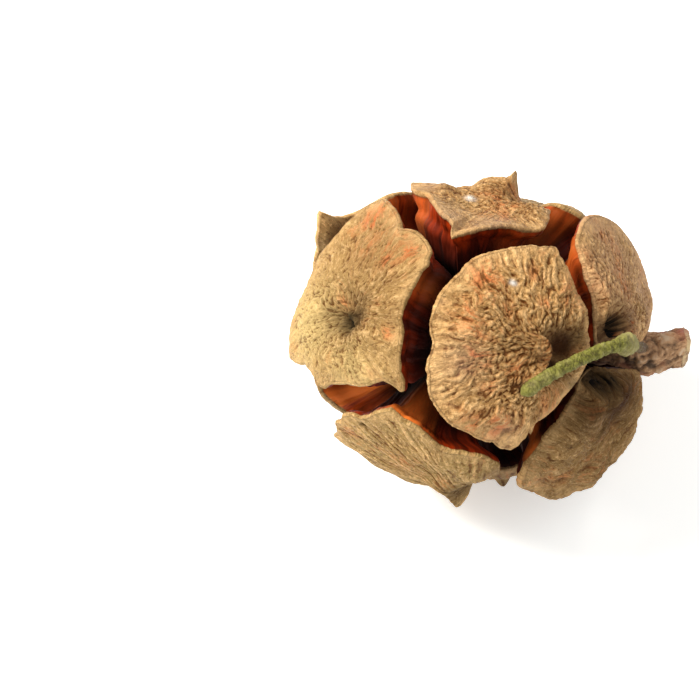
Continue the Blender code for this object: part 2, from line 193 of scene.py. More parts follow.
# The wrinkles of each face: where they fan out from, height and width of the folds, how long they
# run, height and size of the crumpled skin, how far out the skin is crumpled, height of fine grain,
# how much the folds wander
WRINKLES = {
    "scale_crown": ((0.6, -2.6), 0.15, 0.68, 1.9, 0.115, 0.58, 6.5, 0.055, 0.6),
    "scale_tip_top": ((-0.4, -2.7), 0.09, 0.60, 2.6, 0.09, 0.60, 5.5, 0.045, 0.6),
    "scale_top_back": ((3.0, 4.0), 0.07, 0.60, 2.2, 0.09, 0.60, 6.0, 0.045, 0.5),
    "scale_stalk_top": ((-0.9, -4.4), 0.07, 0.55, 2.2, 0.10, 0.60, 7.0, 0.05, 0.5),
    "scale_stalk_front": ((-0.6, 4.6), 0.22, 0.42, 3.2, 0.05, 0.40, 3.0, 0.05, 0.7),
    "scale_front": ((7.2, -3.0), 0.10, 0.50, 6.0, 0.06, 0.50, 3.0, 0.045, 0.15),
}
LOW_WRINKLES = (0.08, 0.7, 3.5, 0.06, 0.7, 4.0, 0.035, 0.4)
BACK_WRINKLES = (0.09, 0.7, 3.5, 0.07, 0.7, 4.0, 0.035, 0.4)
RINGED = ("scale_stalk_front",)

# Folds: how many may run round a point, how far their width may stray from the wanted one, as a
# logarithm, the least weight that counts, and how much of a fold is crack and how much is crest
FOLD_COUNTS = (7, 11, 17, 26, 39, 58, 88, 130)
FOLD_STRAY = 0.38
LEAST_WEIGHT = 0.03
CRACK_SHARE, CREST_SHARE = 0.7, 0.3

# Blender's noise starts from the clock unless it is given a number, so this keeps the shape the same
NOISE_START = 5

# Numbers for the smooth noise: how a seed moves it, how strong it is, the corners of a cell, and how
# a corner picks its slope
SEED_WAY = np.array((1.0, 0.7, -1.0))
NOISE_GAIN = 1.7
CREST_SLOPE = 3.2
CRACK_SLOPE = 2.2
CELL_CORNERS = np.array([(i >> 2 & 1, i >> 1 & 1, i & 1) for i in range(8)])
HASH_STEPS = np.array((374761393, 668265263, 1442695041))
HASH_MIX = 1274126177
HASH_MASK = 0xFFFFFFFF
SLOPES = np.random.default_rng(7).normal(size=(256, 3))
SLOPES /= np.linalg.norm(SLOPES, axis=1)[:, None]

# Scales that the viewer sees from above have a finer mesh: its points along each way, against the setting
FINE = {
    "scale_crown": 1.25, "scale_tip_top": 1.25, "scale_top_back": 1.0, "scale_stalk_top": 1.0,
    "scale_stalk_front": 1.0, "scale_front": 1.0,
}
COARSE = 0.5

# Spots on the faces, by what they are: towards the stalk, across, size, strength
# Shade and black spots are painted shade; green ones are a dark olive, partly painted shade;
# the spots that whiten scale_tip_top are paler skin, partly painted light.
SPOTS = {
    "scale_crown": {
        "flush": (
            (-4.1, 4.7, 1.3, 0.9), (-5.4, 0.1, 1.3, 0.8), (-4.8, -3.1, 1.1, 1.0), (1.1, 2.5, 0.6, 0.9),
            (-1.2, -3.8, 1.1, 0.8), (-3.9, -9.0, 0.9, 1.0), (-1.6, -8.8, 1.2, 1.0), (3.0, -6.8, 1.6, 0.7),
            (1.4, -2.3, 0.7, 0.9), (1.3, -1.3, 0.5, 0.9), (1.2, -3.2, 0.5, 0.9), (-3.0, -5.6, 0.9, 0.7),
            (0.4, 5.2, 0.7, 0.7), (-2.0, 1.6, 0.7, 0.8), (-3.4, 2.4, 0.7, 0.6), (4.2, 3.2, 1.2, 0.5),
        ),
        "shade": (
            (3.3, -1.3, 1.9, 1.15), (2.4, -3.3, 1.3, 1.0), (-0.6, -1.0, 2.6, 0.3), (2.2, -1.9, 0.7, 1.0),
            (-0.6, -5.4, 0.9, 0.5),
        ),
        "rough": ((-1.0, -8.0, 2.4, 0.2),),
        "green": ((2.9, -3.6, 0.8, 0.5), (4.9, -4.9, 0.9, 1.0), (4.8, -0.4, 1.0, 0.5)),
        "grey": ((-5.8, -3.5, 2.2, 0.6), (-1.0, -9.6, 1.4, 0.5)),
        "smooth": ((3.4, -1.6, 1.7, 1.0), (3.6, -5.6, 2.4, 0.8)),
        "pale": ((-1.6, 4.1, 0.28, 1.0),),
    },
    "scale_tip_top": {
        "flush": (
            (1.6, 7.2, 1.6, 0.8), (6.4, 2.3, 0.9, 1.0), (4.3, 1.9, 1.1, 0.9), (1.8, 4.2, 1.6, 0.5),
            (-1.0, -1.0, 0.8, 0.8), (4.4, -5.3, 0.6, 0.8),
        ),
        "shade": (
            (0.9, -3.2, 1.4, 0.7), (-0.6, -2.9, 1.0, 1.0), (-0.3, -4.2, 0.8, 0.8), (1.6, -1.3, 1.4, 0.4),
            (3.4, 4.5, 5.5, 0.24), (0.8, -2.6, 1.3, 0.7),
        ),
        "green": ((-0.6, -3.0, 1.1, 1.0),),
        "black": ((-0.7, -3.0, 0.45, 0.8),),
        "rough": ((-0.2, -3.2, 1.6, 0.5),),
        "bleach": ((-5.2, -2.6, 4.4, 0.42), (-0.5, -8.0, 3.0, 0.3)),
    },
    "scale_top_back": {
        "pale": ((-0.9, 2.2, 0.42, 1.0),),
        "flush": (
            (0.9, 3.4, 1.2, 0.8), (2.4, 1.6, 1.5, 0.8), (3.2, 5.0, 0.8, 1.0), (1.8, -1.0, 1.6, 0.6),
        ),
        "grey": ((1.0, -3.6, 2.4, 0.8), (-3.0, -3.6, 2.4, 0.8), (-4.6, 3.4, 1.6, 0.7)),
    },
    "scale_stalk_top": {
        "shade": ((-0.3, -3.9, 1.1, 1.0), (0.4, -2.9, 1.2, 0.6), (-0.7, -5.4, 0.9, 0.9)),
        "flush": ((1.4, -3.0, 0.7, 0.9), (-6.6, 0.4, 1.2, 0.5), (-0.2, 1.0, 1.6, 0.4)),
        "orange": ((0.05, -4.05, 0.3, 3.0),),
        "black": ((-0.3, -3.85, 0.72, 3.0),),
        "smooth": ((-4.6, -3.2, 2.0, 0.9), (-2.6, -4.8, 1.6, 0.9)),
    },
    "scale_stalk_front": {
        "shade": (
            (1.2, 3.9, 2.2, 1.0), (3.2, 2.4, 2.4, 0.7), (0.2, 5.0, 1.0, 1.0), (2.2, 4.7, 1.1, 1.0),
            (3.8, 3.6, 1.3, 0.9), (2.2, 0.6, 4.0, 1.0), (-1.6, 2.6, 2.0, 0.7),
        ),
        "green": ((1.2, 3.9, 1.6, 0.6),),
        "black": ((0.9, 3.7, 0.5, 2.0), (2.3, 3.3, 0.5, 2.0)),
        "rough": ((1.6, 3.4, 1.7, 0.9),),
        "flush": ((-5.6, -3.4, 0.9, 0.6),),
    },
    "scale_front": {
        "shade": (
            (6.0, -2.4, 1.5, 0.6), (-3.5, 4.1, 0.45, 0.8), (-5.3, 0.3, 0.35, 0.6), (8.6, 2.0, 1.0, 0.7),
        ),
        "green": ((6.4, -1.6, 1.1, 0.6),),
        "flush": ((1.0, 0.4, 2.0, 0.3), (-4.8, 1.6, 0.8, 0.4)),
    },
    "scale_front_low": {
        "shade": ((2.5, 8.0, 3.5, 1.0),),
    },
}

# Small pits and lumps of the faces: towards the stalk, across, height, width, steepness of the side
LUMPS = {
    "scale_tip_top": ((-0.8, -3.0, -0.9, 0.8, 3), (1.0, -2.6, 0.25, 0.6, 2), (-0.5, -4.2, -0.35, 0.6, 2)),
    "scale_top_back": ((-0.9, 2.2, 0.2, 0.4, 2), (-3.4, 3.4, 0.5, 1.0, 2)),
    "scale_stalk_top": (
        (-0.3, -3.85, -2.2, 0.75, 5), (0.05, -4.05, 1.5, 0.34, 2), (-0.9, -4.4, -0.6, 0.6, 2),
        (0.7, -3.4, 0.5, 0.45, 2), (1.2, -4.2, -0.5, 0.5, 3),
    ),
    "scale_stalk_front": (
        (1.0, 4.1, -1.9, 1.1, 4), (2.4, 3.2, -1.0, 0.7, 3), (2.0, 4.2, 0.6, 0.3, 2),
        (0.2, 3.0, 0.3, 0.6, 2), (1.9, -2.6, -0.5, 2.4, 2), (-1.8, -6.3, 0.5, 1.9, 2),
        (-4.4, -7.0, 0.3, 1.6, 2),
    ),
    "scale_front": (
        (-3.5, 4.1, -0.3, 0.4, 3), (-5.3, 0.3, -0.2, 0.35, 3), (6.6, -0.4, -0.5, 0.9, 2),
        (8.2, 0.6, -0.5, 0.6, 2),
    ),
}

# Scales whose skin goes on over the edge, and the turns round the face where it does
SKIN_OVER = {"scale_tip_back": (200, 303)}
SKIN_FADE = 15

# Walls that spread out under the edge: degrees round the face, how far
WALL_FLARES = {
    "scale_top_back": ((128, 0), (146, 1.5), (165, 2.0), (205, 1.6), (245, 1.0), (262, 0)),
    "scale_tip_top": (
        (224, 0), (240, 2.0), (262, 2.6), (282, 2.4), (296, 1.6), (325, 2.2), (10, 2.4), (30, 1.2),
        (48, 0),
    ),
}

# How brightly each scale's walls are painted, which is painted light and shade, and where painted
# light falls on them: degrees round the face, width, strength
WALL_LOOKS = {
    "scale_crown": (0.3, ()),
    "scale_tip_top": (0.5, ((352, 9, 0.2),)),
    "scale_top_back": (0.8, ((172, 14, 0.3), (322, 20, 0.15))),
    "scale_stalk_top": (0.6, ((166, 14, 0.35), (205, 30, 0.12))),
    "scale_stalk_front": (0.1, ((171, 6, 0.5),)),
    "scale_front": (0.6, ((90, 14, 1.1), (68, 8, 0.3))),
    "scale_tip_low": (1.2, ((133, 8, 2.0), (118, 8, 0.4), (105, 12, 0.2))),
    "scale_tip_back": (1.0, ((308, 12, 0.45),)),
    "scale_back": (0.7, ((298, 7, 0.15), (284, 12, 0.2))),
}
# Walls that are not listed are painted dark, as painted shade, with no painted light
PLAIN_WALL = (0.12, ())

SPHERES = {}
SPOT_KINDS = ("flush", "shade", "pale", "green", "grey", "orange", "black", "bleach")

# The core, the stalk and the sprig
CORE_RADIUS = 4.3
NECK_RADIUS = 0.9
STALK_RADIUS = 1.75
STALK_END = 21.85
SPRIG_RADIUS = 0.62
SPRIG_LINE = (
    (3.5, -13.55, 12.8), (7.2, -11.1, 13.4), (9.8, -9.7, 13.5),
    (12.2, -8.2, 12.8), (14.3, -6.6, 11.0), (17.4, -3.1, 3.6),
)
LEAF_STEP = 0.7
LEAF_HEIGHT = 0.07


# ==== What a user can change ====

def colour_setting(name, description, default):
    return bpy.props.FloatVectorProperty(
        name=name, description=description, default=default, size=3, min=0.0, max=1.0, subtype="COLOR"
    )


def length_setting(name, description, default):
    return bpy.props.FloatProperty(
        name=name, description=description, default=default, min=0.0, unit="LENGTH", precision=5
    )


class CONE_PG_shape(bpy.types.PropertyGroup):
    spokes: bpy.props.IntProperty(
        name="Spokes", description="Points round the edge of a scale that faces the viewer", default=320
    )
    rings: bpy.props.IntProperty(
        name="Rings", description="Rings of points from a scale's middle to its foot", default=124
    )
    lip: length_setting("Edge thickness", "Thickness of the rounded edge of a scale", 0.00052)
    wrinkle: bpy.props.FloatProperty(
        name="Wrinkling", description="How strongly the dried skin is wrinkled", default=1.0
    )
    rib: length_setting("Wall ribs", "Height of the ribs on the walls between scales", 0.00016)
    bark: length_setting("Stalk roughness", "Height of the rough bark on the stalk", 0.00042)


class CONE_PG_colours(bpy.types.PropertyGroup):
    # Ridges and valleys: partly the skin's own tones, partly painted highlight and painted shade
    ridge: colour_setting("Ridges", "Dry skin on the ridges", (0.80, 0.50, 0.22))
    skin: colour_setting("Skin", "Dry skin between ridges and valleys", (0.41, 0.222, 0.072))
    valley: colour_setting("Valleys", "Skin in the bottom of the wrinkles", (0.12, 0.036, 0.003))
    flush: colour_setting("Flush", "Reddish streaks on the skin", (0.58, 0.175, 0.050))
    wall: colour_setting("Walls", "Walls between the scales", (0.17, 0.015, 0.002))
    # Just under the edge the walls are painted brighter: partly their own red, partly painted light
    wall_edge: colour_setting("Wall edges", "Bright walls just under the edge", (0.56, 0.050, 0.004))
    bark: colour_setting("Bark", "Bark of the stalk", (0.47, 0.26, 0.125))
    sprig: colour_setting("Sprig", "Small green leaves", (0.185, 0.175, 0.026))
    floor: colour_setting("Floor", "Plain floor under the cone", (0.90, 0.90, 0.87))


# ==== Directions and plain forms ====

def unit(vector):
    vector = np.asarray(vector, float)
    return vector / np.linalg.norm(vector)


def rows_unit(rows):
    return rows / np.maximum(np.linalg.norm(rows, axis=1), 1e-9)[:, None]


def ease(low, high, value):
    """Rises smoothly from 0 to 1 as the value goes from low to high."""
    part = np.clip((value - low) / (high - low), 0, 1)
    return part * part * (3 - 2 * part)


def hill(distance, width):
    return np.exp(-((distance / width) ** 2))


def stalk_axes():
    """The stalk's direction, with the directions across it that point up and to the front."""
    along = unit(STALK_WAY)
    up = np.array((0.0, 0.0, 1.0))
    up = unit(up - along * (along @ up))
    return along, up, np.cross(along, up)


def facing(from_stalk, turn):
    along, up, front = stalk_axes()
    angle, turn = math.radians(from_stalk), math.radians(turn)
    return math.cos(angle) * along + math.sin(angle) * (math.cos(turn) * up + math.sin(turn) * front)


def face_axes(name):
    """A scale's own directions: outward, across its face towards the stalk, and sideways."""
    outward = facing(*SCALES[name][:2])
    along = stalk_axes()[0]
    stalkward = unit(along - outward * (outward @ along))
    return outward, stalkward, np.cross(outward, stalkward)


def limit_angle(outward, spokes, towards, offset):
    """For each spoke, the angle at which it meets the plane between this scale and a neighbour."""
    across = unit(towards)
    lean, reach = -(outward @ across), spokes @ across
    length = np.hypot(lean, reach)
    angle = np.arctan2(lean, reach) - np.arcsin(np.clip(offset / length, -1, 1))
    return np.where(reach > 0.02, np.maximum(angle, 0.05), 10.0)


def edge_angles(name, spokes):
    """How far round from its direction a scale's edge lies, on each spoke, in radians."""
    outward, stalkward, _ = face_axes(name)
    from_stalk, _, push, edge, _, _, gap, _ = SCALES[name]
    total = np.zeros(len(spokes))
    for other, row in SCALES.items():
        if other != name:
            towards = facing(*row[:2]) - outward
            angle = limit_angle(outward, spokes, towards, (gap - push + row[2]) / edge)
            total += angle ** -EDGE_SHARPNESS
    if from_stalk < STALK_REACH:
        away = math.radians(from_stalk - STALK_CLEARANCE)
        touch = math.cos(away) * outward + math.sin(away) * stalkward
        towards = stalkward - touch * (stalkward @ touch)
        total += limit_angle(outward, spokes, towards, 0.0) ** -EDGE_SHARPNESS
    return np.minimum(total ** (-1 / EDGE_SHARPNESS), math.radians(WIDEST_ANGLE))


def edge_of(name, turns):
    """The distance across the face and the outward distance of a scale's edge at each turn."""
    _, stalkward, sideways = face_axes(name)
    spokes = np.outer(np.cos(turns), stalkward) + np.outer(np.sin(turns), sideways)
    _, _, _, edge, lean_stalk, lean_side, _, _ = SCALES[name]
    distance = edge + lean_stalk * np.cos(turns) + lean_side * np.sin(turns)
    degrees, outs, lifts = np.array([(*row, 0.0)[:3] for row in EDGE_PULLS[name]]).T
    pulled = np.interp(np.degrees(turns), degrees, outs, period=360)
    distance = distance + np.interp(np.degrees(turns), degrees, lifts, period=360)
    angles = edge_angles(name, spokes) + pulled / edge
    return distance * np.sin(angles), distance * np.cos(angles)


def point_shape(name, x, y):
    """Height added by the worn point of a face, the dimple round it and the hollow beside it."""
    _, _, height, width, dimple, hollow = POINTS[name]
    far = np.hypot(x, y)
    beside = hill(np.hypot(x - HOLLOW_PLACE, y), HOLLOW_WIDTH)
    return height * hill(far, width) - dimple * hill(far, DIMPLE_SPREAD * width) - hollow * beside


def stretched(points):
    along = stalk_axes()[0]
    return points + np.outer(points @ along, along) * (STRETCH - 1)


def placed(points):
    """Lifts points to their place above the floor and flattens what would go below it."""
    points = points + np.array(MIDDLE)
    points[:, 2] = np.maximum(points[:, 2], 0.0)
    return points * MILLIMETRE


# ==== Wrinkles ====

def bumps(points, size, seed):
    """Smooth noise from about -1 to 1, with bumps of about the given size."""
    spots = points / size + seed * SEED_WAY
    cell = np.floor(spots).astype(np.int64)
    inside = spots - cell
    fade = inside ** 3 * (inside * (inside * 6 - 15) + 10)
    total = np.zeros(len(points))
    for corner in CELL_CORNERS:
        key = (cell + corner) @ HASH_STEPS
        key = ((key ^ (key >> 13)) * HASH_MIX) & HASH_MASK
        slope = SLOPES[(key >> 9) % len(SLOPES)]
        near = np.where(corner, fade, 1 - fade)
        total += near[:, 0] * near[:, 1] * near[:, 2] * ((inside - corner) * slope).sum(1)
    return total * NOISE_GAIN


def unevenness(points, size, seed):
    """How far each point is moved by the wide, smooth bumps of the plain form."""
    noise.seed_set(NOISE_START)
    shift = Vector(seed * SEED_WAY)
    return np.array([noise.noise_vector(Vector(place) / size + shift) for place in points.tolist()])


def crests(points, size, seed):
    """Noise whose high places are narrow crests, from about -1 to 1."""
    return 1 - CREST_SLOPE * np.abs(bumps(points, size, seed))


def cracks(points, size, seed):
    """Noise whose low places are narrow and its high ones broad and round, from about -1 to 1."""
    return CRACK_SLOPE * np.sqrt(np.abs(bumps(points, size, seed))) - 1


def folds(angle, far, wave, length, seed):
    """Crests that run outwards from a point and fork, so that they stay about as wide."""
    total = np.zeros(len(far))
    weights = np.full(len(far), 1e-6)
    for count in FOLD_COUNTS:
        width = math.tau * far / count
        weight = hill(np.log(np.maximum(width, 0.01) / wave), FOLD_STRAY)
        shown = weight > LEAST_WEIGHT
        if shown.any():
            radius, turn, run = count / math.tau, angle[shown], far[shown] / length
            round_fan = np.stack((np.cos(turn) * radius, np.sin(turn) * radius, run), 1)
            wave_shape = CRACK_SHARE * cracks(round_fan, 1.0, seed + count)
            wave_shape += CREST_SHARE * np.maximum(crests(round_fan, 1.3, seed - count), -0.6)
            total[shown] += weight[shown] * wave_shape
            weights[shown] += weight[shown] ** 2
    return total / np.sqrt(weights)


def rings(angle, far, wave, length, seed):
    """Crests that run round a point, like the edges of a pile of petals."""
    around = np.stack((np.cos(angle) * far / length, np.sin(angle) * far / length, far / wave), 1)
    return 0.7 * np.maximum(crests(around, 1.2, seed), -0.8) + 0.5 * cracks(around, 1.0, seed + 3)


def fan_from(centre, x, y, warp_x, warp_y):
    """Angle and distance from the place where a face's folds start, slightly bent."""
    across, along = x - centre[0] + warp_x, y - centre[1] + warp_y
    return np.arctan2(along, across), np.hypot(across, along)


def face_relief(name, x, y, seed, calm):
    """Height of the wrinkled skin at each place on a face."""
    usual = BACK_WRINKLES if name.startswith("scale_back") else LOW_WRINKLES
    wrinkles = WRINKLES.get(name, (POINTS[name][:2], *usual))
    centre, fold, wave, length, crumple, size, reach, grain, warp = wrinkles
    flat = np.stack((x, y, np.zeros(len(x))), 1)
    warp_x, warp_y = bumps(flat, 1.9, seed) * warp, bumps(flat, 1.9, seed + 9) * warp
    angle, far = fan_from(centre, x, y, warp_x, warp_y)
    inner = 1 - ease(reach * 0.55, reach * 1.25, far)
    run = rings if name in RINGED else folds
    relief = run(angle, far, wave, length, seed) * fold * (1 - 0.35 * inner)
    relief += run(angle, far, wave * 0.45, length * 0.6, seed + 40) * fold * 0.35
    bent = flat + np.stack((warp_x, warp_y, warp_x), 1) * 0.8
    crumpled = cracks(bent, size, seed + 20) + 0.5 * cracks(bent, size * 0.5, seed + 30)
    relief += crumpled * crumple * (0.35 + 0.65 * inner)
    relief += bumps(flat, 0.33, seed + 60) * grain
    relief *= (1 - 0.75 * calm) * (1 + 2.5 * spot_mask(name, "rough", x, y))
    return relief, bumps(flat, 3.4, seed + 50) * fold * 1.6, angle, far


# The curled edge on the top scale: the middle and radius of its arc, its height and width, and how
# deep and how wide the skin drops past it
CURL_MIDDLE, CURL_RADIUS = (-0.7, -2.7), 2.25
CURL_HEIGHT, CURL_WIDTH = 0.75, 0.33
CURL_DROP, CURL_DROP_WIDTH = 0.9, 1.9


def crown_lip(x, y):
    """The curled edge on the top scale, above the smooth hollow on its stalk side."""
    x, y = x - CURL_MIDDLE[0], y - CURL_MIDDLE[1]
    beyond = np.hypot(x, y) - CURL_RADIUS
    arc = ease(-0.2, 0.9, x) * ease(-2.9, -1.6, y) * ease(-2.6, -1.6, -y)
    drop = CURL_DROP * ease(0.05, 0.45, beyond) * hill(beyond, CURL_DROP_WIDTH)
    return arc * (CURL_HEIGHT * hill(beyond, CURL_WIDTH) - drop)


def lumps(name, x, y):
    total = np.zeros(len(x))
    for across, along, height, width, steep in LUMPS.get(name, ()):
        total += height * np.exp(-((np.hypot(x - across, y - along) / width) ** steep))
    return total


def lit_wall(name, turns):
    """Where a wall catches the light, from 0 to 1."""
    total = np.zeros(len(turns))
    for centre, width, strength in WALL_LOOKS.get(name, PLAIN_WALL)[1]:
        total = np.maximum(total, strength * hill(turn_between(turns, centre), width))
    return total


def spot_mask(name, kind, x, y):
    """How strongly a kind of spot shows at each place on a face, from 0 to 1."""
    total = np.zeros(len(x))
    for across, along, size, strength in SPOTS.get(name, {}).get(kind, ()):
        total = np.maximum(total, strength * hill(np.hypot(x - across, y - along), size))
    return total


# ==== Meshes ====

def sphere(name, spokes, rings):
    """A plain sphere to shape. The scales share their size, so one is made and the others are copies."""
    size = (spokes, rings)
    if size not in SPHERES:
        bpy.ops.object.select_all(action="DESELECT")
        bpy.ops.mesh.primitive_uv_sphere_add(
            segments=spokes, ring_count=rings, radius=1.0, calc_uvs=False
        )
        start = bpy.context.object
        SPHERES[size] = start.data.copy()
        bpy.data.objects.remove(start, do_unlink=True)
    obj = bpy.data.objects.new(name, SPHERES[size].copy())
    bpy.context.scene.collection.objects.link(obj)
    obj.data.name = name
    return obj


def share_and_turn(obj):
    """Each point's place on its sphere: 0 to 1 from the top down, and the turn in radians."""
    flat = np.empty(len(obj.data.vertices) * 3, np.float32)
    obj.data.vertices.foreach_get("co", flat)
    points = flat.reshape(-1, 3).astype(float)
    share = np.arccos(np.clip(points[:, 2], -1, 1)) / math.pi
    return share, np.arctan2(points[:, 1], points[:, 0]) % math.tau


def reshape(obj, points):
    obj.data.vertices.foreach_set("co", np.ascontiguousarray(points, dtype=np.float32).ravel())
    obj.data.update()
    obj.data.shade_smooth()


def paint(obj, name, values):
    """Keeps a number or a vector for each point, for the materials to read."""
    kind = "FLOAT" if values.ndim == 1 else "FLOAT_VECTOR"
    layer = obj.data.attributes.new(name, kind, "POINT")
    key = "value" if values.ndim == 1 else "vector"
    layer.data.foreach_set(key, np.ascontiguousarray(values, dtype=np.float32).ravel())


def dress(obj, finish, slot, *nodes):
    obj.data.materials.append(finish)
    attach(obj, BODY)
    if nodes:
        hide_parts(*nodes)


def scale_section(name, share, turns, lip):
    """A scale's section at each point: across, outward, the skin's direction, and which part it is."""
    edge, edge_out = edge_of(name, turns)
    dome = SCALES[name][7]
    top = SCALES[name][3] * math.cos(math.radians(31)) + dome
    tilt = np.arctan(FACE_CURVE * (top - edge_out) / edge)
    face_edge = edge - lip * (1 - np.sin(tilt))
    out = np.clip(share / FACE_END, 0, 1)
    bend = np.clip((share - FACE_END) / (LIP_END - FACE_END), 0, 1)
    down = np.clip((share - LIP_END) / (1 - LIP_END), 0, 1)
    return edge, edge_out, top, tilt, face_edge, out, bend, down


def wall_flare(name, turns, down):
    """How far the wall spreads out under the edge."""
    degrees, flares = np.array(WALL_FLARES.get(name, ((0, 0),)), float).T
    flare = np.interp(np.degrees(turns), degrees, flares, period=360)
    return flare * ease(0.0, 0.26, down) * (1 - ease(0.4, 1.0, down))


def walled_part(name, turns, skin, down):
    """How much of each place is wall and not skin, from 0 to 1."""
    walled = 1 - skin * (1 - ease(0.0, 0.01, down))
    if name not in SKIN_OVER:
        return walled
    first, last = SKIN_OVER[name]
    past, whole = (np.degrees(turns) - first) % 360, last - first
    over = ease(0, SKIN_FADE, past) * (1 - ease(whole - SKIN_FADE, whole, past))
    return np.minimum(walled, 1 - over * (1 - ease(0.5, 0.8, down)))


def build_scale(name, number, shape, finish):
    fineness = FINE.get(name, COARSE)
    obj = sphere("detail_" + name, round(shape.spokes * fineness), round(shape.rings * fineness))
    share, turns = share_and_turn(obj)
    lip = shape.lip / MILLIMETRE / 2
    edge, edge_out, top, tilt, face_edge, out, bend, down = scale_section(name, share, turns, lip)
    point_x, point_y = POINTS[name][:2]
    cos, sin = np.cos(turns), np.sin(turns)

    # The face
    x = point_x * (1 - out) + face_edge * cos * out
    y = point_y * (1 - out) + face_edge * sin * out
    outward = top + (edge_out - top) * out ** FACE_CURVE
    outward += point_shape(name, x - point_x, y - point_y) * (1 - out ** 4)
    outward += lumps(name, x, y)
    if name == "scale_crown":
        outward += crown_lip(x, y)
    face_x, face_y = x.copy(), y.copy()

    # The rounded edge, then the wall that goes down to the core
    angle = tilt + (LIP_TURN - tilt) * bend
    centre, centre_out = face_edge - lip * np.sin(tilt), edge_out - lip * np.cos(tilt)
    lip_across, lip_out = centre + lip * np.sin(angle), centre_out + lip * np.cos(angle)
    start_across, start_out = centre + lip * math.sin(LIP_TURN), centre_out + lip * math.cos(LIP_TURN)
    wall_out = FOOT + (start_out - FOOT) * (1 - down)
    plain_down = np.clip(1 - (wall_out - FOOT) / (edge_out - FOOT), 0, 1)
    plain = edge * wall_out / edge_out * (1 - UNDERCUT * np.sin(math.pi * plain_down ** 0.7))
    settle = ease(0.0, 0.16, down)
    wall_across = start_across * (1 - settle) + plain * settle + wall_flare(name, turns, down)
    on_lip, on_wall = bend > 0, down > 0
    across = np.where(on_wall, wall_across, lip_across)
    x, y = np.where(on_lip, across * cos, x), np.where(on_lip, across * sin, y)
    outward = np.where(on_wall, wall_out, np.where(on_lip, lip_out, outward))

    # The direction in which the skin is raised
    lean = np.where(on_lip, angle, tilt * out ** 1.4)
    lean = np.where(on_wall, LIP_TURN + (WALL_TILT - LIP_TURN) * settle, lean)
    away = rows_unit(np.stack((edge * cos - point_x * (1 - out), edge * sin - point_y * (1 - out)), 1))
    skin_way = np.stack((away[:, 0] * np.sin(lean), away[:, 1] * np.sin(lean), np.cos(lean)), 1)

    # Wrinkles on the face and over its edge, ribs down the walls
    calm = spot_mask(name, "smooth", face_x, face_y)
    relief, swells, fan_angle, fan_far = face_relief(name, face_x, face_y, number * 17.3 + 3, calm)
    relief *= shape.wrinkle * (1 - 0.45 * ease(0.82, 1.0, out))
    skin = 1 - ease(0.75, 1.0, bend)
    rib_places = np.stack((cos * edge * 0.95, sin * edge * 0.95, wall_out * 0.16), 1)
    ribs = bumps(rib_places, 0.9, number * 7.1) + 0.3 * crests(rib_places, 0.5, number * 3.1)
    rib = shape.rib / MILLIMETRE * ribs * ease(0.7, 1.0, bend) * (1 - ease(0.3, 0.7, down))
    raised = (relief + swells) * skin * (1 - 0.35 * ease(0.0, 0.5, bend)) + rib
    raised *= np.where(share < 1e-4, 0.0, 1.0)
    local = np.stack((x, y, outward), 1) + skin_way * raised[:, None]
    local[share > 0.9999, :2] = 0.0

    # Turned to the cone's own directions, with the slight unevenness of the plain form
    outward_way, stalkward, sideways = face_axes(name)
    points = stretched(local @ np.array((stalkward, sideways, outward_way)))
    reshape(obj, placed(points + unevenness(points, WEAR_SIZE, number * WEAR_SEED) * WEAR))

    paint(obj, "wall", walled_part(name, turns, skin, down))
    paint(obj, "depth", down)
    paint(obj, "lit", lit_wall(name, turns))
    paint(obj, "rim", ease(0.8, 1.0, out) * (1 - ease(0.0, 1.0, bend)))
    spread = relief[share < FACE_END].std() * 3.6
    paint(obj, "relief", np.clip((relief - relief[share < FACE_END].mean()) / spread + 0.5, 0, 1))
    round_fan = np.stack((np.cos(fan_angle) * 8, np.sin(fan_angle) * 8, fan_far * 0.45), 1)
    if name in RINGED:
        round_fan = np.stack((x * 0.45, y * 0.45, fan_far * 1.9), 1)
    round_wall = np.stack((cos * edge, sin * edge, wall_out * 0.25), 1)
    paint(obj, "grain", np.where(on_lip[:, None], round_wall, round_fan))
    for kind in SPOT_KINDS:
        paint(obj, kind, spot_mask(name, kind, face_x, face_y) * skin)
    dress(obj, finish, "grey_scale" if name == "scale_stalk_front" else "tan_scale", name)
    return obj


def turn_between(turns, degrees):
    """How many degrees each turn lies from the given one, from -180 to 180."""
    return (np.degrees(turns) - degrees + 180) % 360 - 180


def stalk_radius(x):
    """The radius of the core, the neck that leaves it and the swelling outside the scales."""
    core = np.sqrt(np.clip(CORE_RADIUS ** 2 - x ** 2, 0, None))
    neck = NECK_RADIUS + (STALK_RADIUS - NECK_RADIUS) * np.clip((x - CORE_RADIUS) / 10.0, 0, 1)
    swell = 0.35 * hill(x - 18.6, 2.2)
    return np.maximum(core, np.where(x > 0, neck + swell, 0))


# The rings of the core and stalk, as shares of all rings and the places where they lie. Most of them
# lie outside the scales, and the last ones cross the broken end.
END_FROM = 0.86
STALK_RINGS = (
    (0.0, 0.12, 0.24, END_FROM, 1.0),
    (-CORE_RADIUS, -3.0, 6.0, STALK_END, STALK_END),
)


